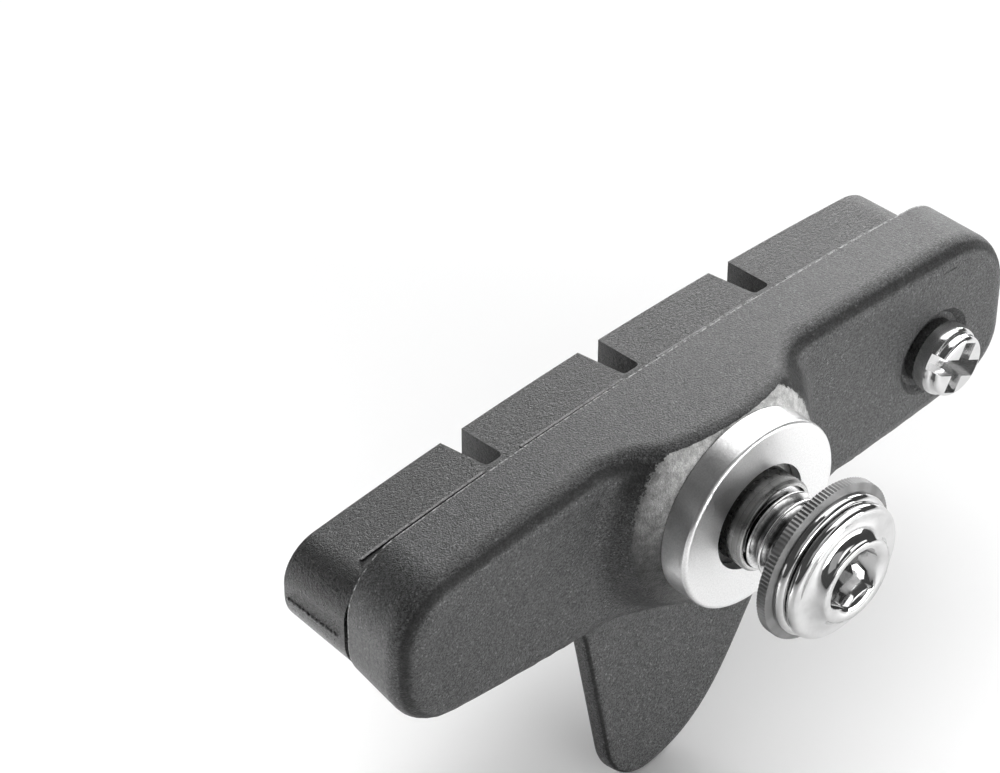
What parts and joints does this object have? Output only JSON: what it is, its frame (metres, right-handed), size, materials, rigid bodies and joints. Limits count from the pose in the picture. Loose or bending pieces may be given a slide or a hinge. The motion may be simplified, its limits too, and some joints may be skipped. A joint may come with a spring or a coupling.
{
  "type": "bicycle rim brake pad",
  "caption": "Cartridge brake shoe for a road bicycle's rim brake: curved holder with a wheel guide fin, slotted rubber insert, and a bolt with ball-seated washers.",
  "frame": {"origin": "centre of the flat washer face that bears on the brake arm, on the bolt's axis", "axes": "+X along the pad to the holder's open end, +Y to the wheel rim, square to the braking face, +Z away from the wheel's hub; the wheel guide hangs towards -Z"},
  "size_m": [0.0577, 0.0258, 0.0296],
  "materials": {
    "holder_paint": "fine matt dark grey paint on cast aluminium",
    "pad_rubber": "moulded, fine grain",
    "satin_aluminium": "satin",
    "dark_steel": "turned",
    "bright_steel": "bright plated steel"
  },
  "bodies": {
    "arm_clamp": {"clamp_washer": "bright_steel"},
    "seat_washer": {"concave_washer": "satin_aluminium"},
    "shoe": {"holder": "holder_paint", "pad_insert": "pad_rubber", "pad_screw": "bright_steel", "threaded_post": "dark_steel"},
    "cup": {"cup_washer": "bright_steel"},
    "bolt": {"fixing_bolt": "bright_steel"}
  },
  "joints": [
    {"name": "swing", "type": "hinge", "parent": "arm_clamp", "child": "seat_washer", "pos_m": [0, 0, 0], "axis": [0, 1, 0], "continuous": true},
    {"name": "toe_in", "type": "hinge", "parent": "seat_washer", "child": "shoe", "pos_m": [0, 0.0143, 0], "axis": [0, 0, 1], "range_deg": [-1.8, 1.8]},
    {"name": "bolt_travel", "type": "slide", "parent": "shoe", "child": "cup", "axis": [0, -1, 0], "range_m": [0, 0.003]},
    {"name": "bolt_turn", "type": "hinge", "parent": "cup", "child": "bolt", "pos_m": [0, 0, 0], "axis": [0, -1, 0], "range_deg": [0, 1080]}
  ],
  "couplings": [
    {"joint": "bolt_turn", "follows": "bolt_travel", "rad_per_m": 6283.2}
  ]
}
